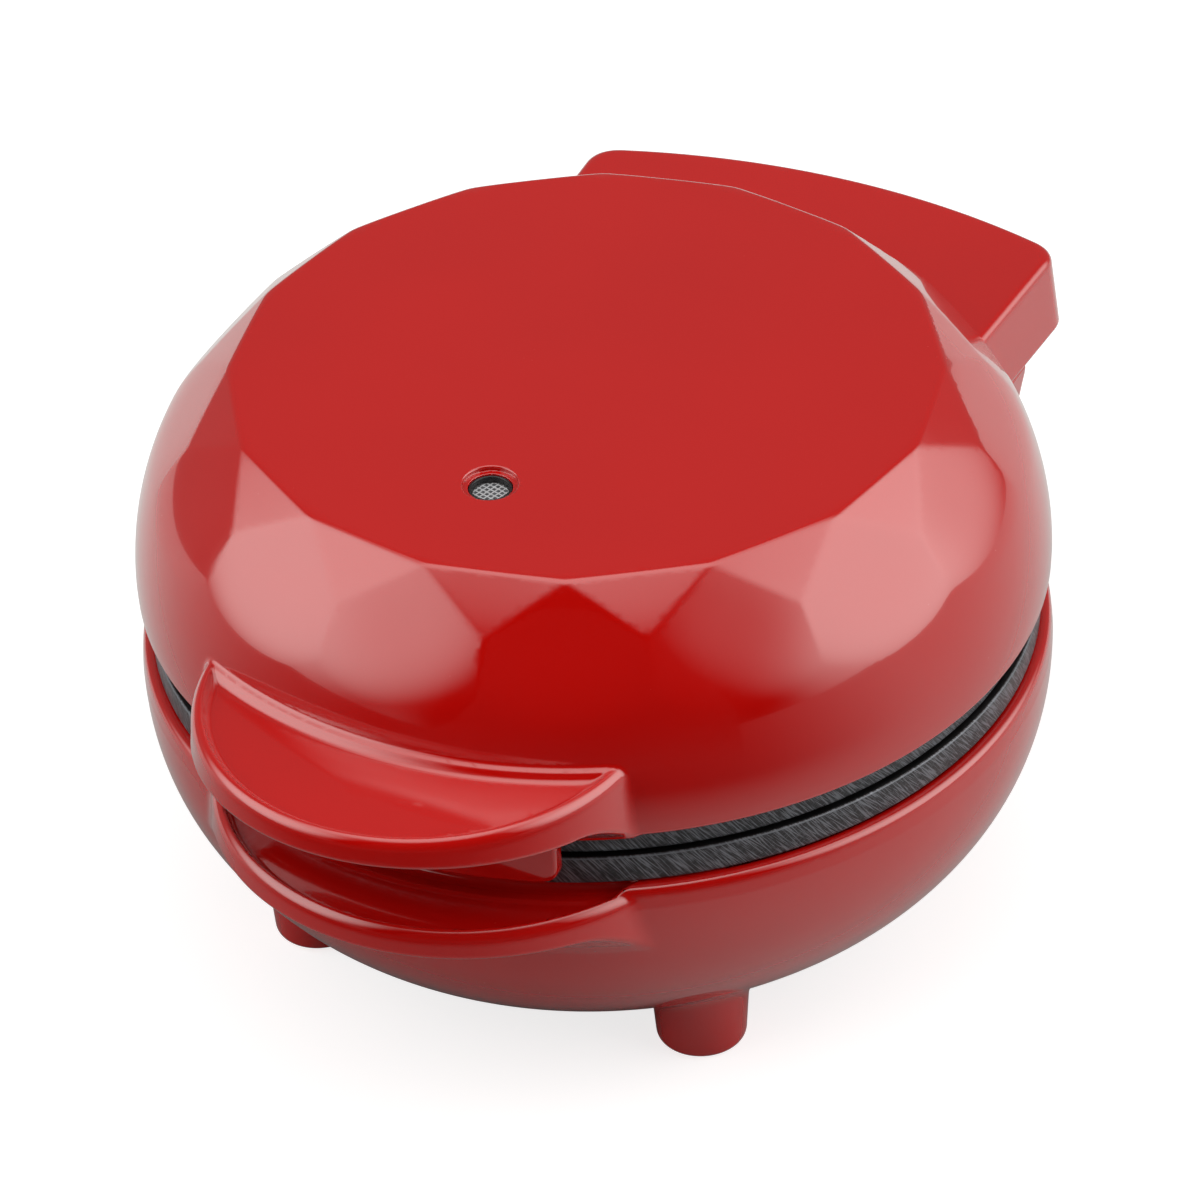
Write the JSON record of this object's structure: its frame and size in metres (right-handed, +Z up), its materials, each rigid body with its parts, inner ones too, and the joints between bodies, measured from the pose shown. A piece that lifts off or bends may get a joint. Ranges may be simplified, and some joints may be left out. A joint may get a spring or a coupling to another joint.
{
  "type": "mini waffle maker",
  "caption": "Round countertop waffle cooker with a facet-cut lid on a rear hinge, front handles and a waffle grid inside.",
  "frame": {"origin": "bottom centre of the whole outline with the lid closed, on the surface it stands on", "axes": "+Z up, -Y to the front handles, +Y to the rear hinge, +X to the right seen from the front"},
  "size_m": [0.1274, 0.1682, 0.0831],
  "materials": {
    "red_gloss": "high gloss red plastic, smooth, with soft edges",
    "plate_coat": "cast aluminium with a dark grey non-stick coat",
    "steel": "zinc-plated steel, satin",
    "heater_sheath": "dull heat-tinted sheath of an electric element",
    "shield_sheen": "bright rolled sheet",
    "ceramic": "unglazed off-white ceramic",
    "black_plastic": "black heat-resistant plastic, matte",
    "white_plastic": "white plastic, matte",
    "rubber": "black rubber, matte",
    "lamp_glass": "clear neon lamp glass with an orange tint",
    "lens_grey": "silver-grey translucent lens",
    "glass_fibre": "braided glass-fibre sleeve"
  },
  "bodies": {
    "base": {"base_housing": "red_gloss", "foot_pad_front_left": "rubber", "foot_pad_front_right": "rubber", "foot_pad_rear_right": "rubber", "foot_pad_rear_left": "rubber", "lower_cooking_plate": "plate_coat", "cord_inlet_gland": "rubber", "hinge_pin_right": "steel", "hinge_pin_left": "steel", "lower_heating_element": "heater_sheath", "lower_terminal_bead_right": "ceramic", "lower_terminal_bead_left": "ceramic", "lower_element_clamp": "steel", "lower_shield_spacer_front": "steel", "lower_shield_spacer_right": "steel", "lower_shield_spacer_left": "steel", "lower_heat_shield": "shield_sheen", "lower_plate_screw_front": "steel", "lower_plate_screw_right": "steel", "lower_plate_screw_left": "steel", "base_housing_screw_front": "steel", "base_housing_screw_right": "steel", "base_housing_screw_left": "steel", "thermostat": "ceramic", "thermostat_bracket": "steel", "thermostat_screw_left": "steel", "thermostat_screw_right": "steel", "thermal_fuse": "white_plastic", "thermal_fuse_clip": "steel", "terminal_block": "white_plastic", "terminal_block_screw_left": "steel", "terminal_block_screw_middle": "steel", "terminal_block_screw_right": "steel", "base_wire_sleeve": "glass_fibre"},
    "lid": {"lid_housing": "red_gloss", "indicator_lens": "lens_grey", "upper_cooking_plate": "plate_coat", "indicator_lamp": "lamp_glass", "lamp_holder": "black_plastic", "upper_heating_element": "heater_sheath", "upper_terminal_bead_right": "ceramic", "upper_terminal_bead_left": "ceramic", "upper_element_clamp": "steel", "upper_clamp_screw_front": "steel", "upper_clamp_screw_right": "steel", "upper_clamp_screw_left": "steel", "upper_heat_shield": "shield_sheen", "upper_shield_screw_front": "steel", "upper_shield_screw_right": "steel", "upper_shield_screw_left": "steel", "upper_plate_clip_right": "steel", "upper_plate_clip_rear": "steel", "upper_plate_clip_left": "steel", "lid_wire_sleeve": "glass_fibre"}
  },
  "joints": [
    {"name": "lid_hinge", "type": "hinge", "parent": "base", "child": "lid", "pos_m": [0, 0.0701, 0.0545], "axis": [-1, 0, 0], "range_deg": [0, 95]}
  ]
}
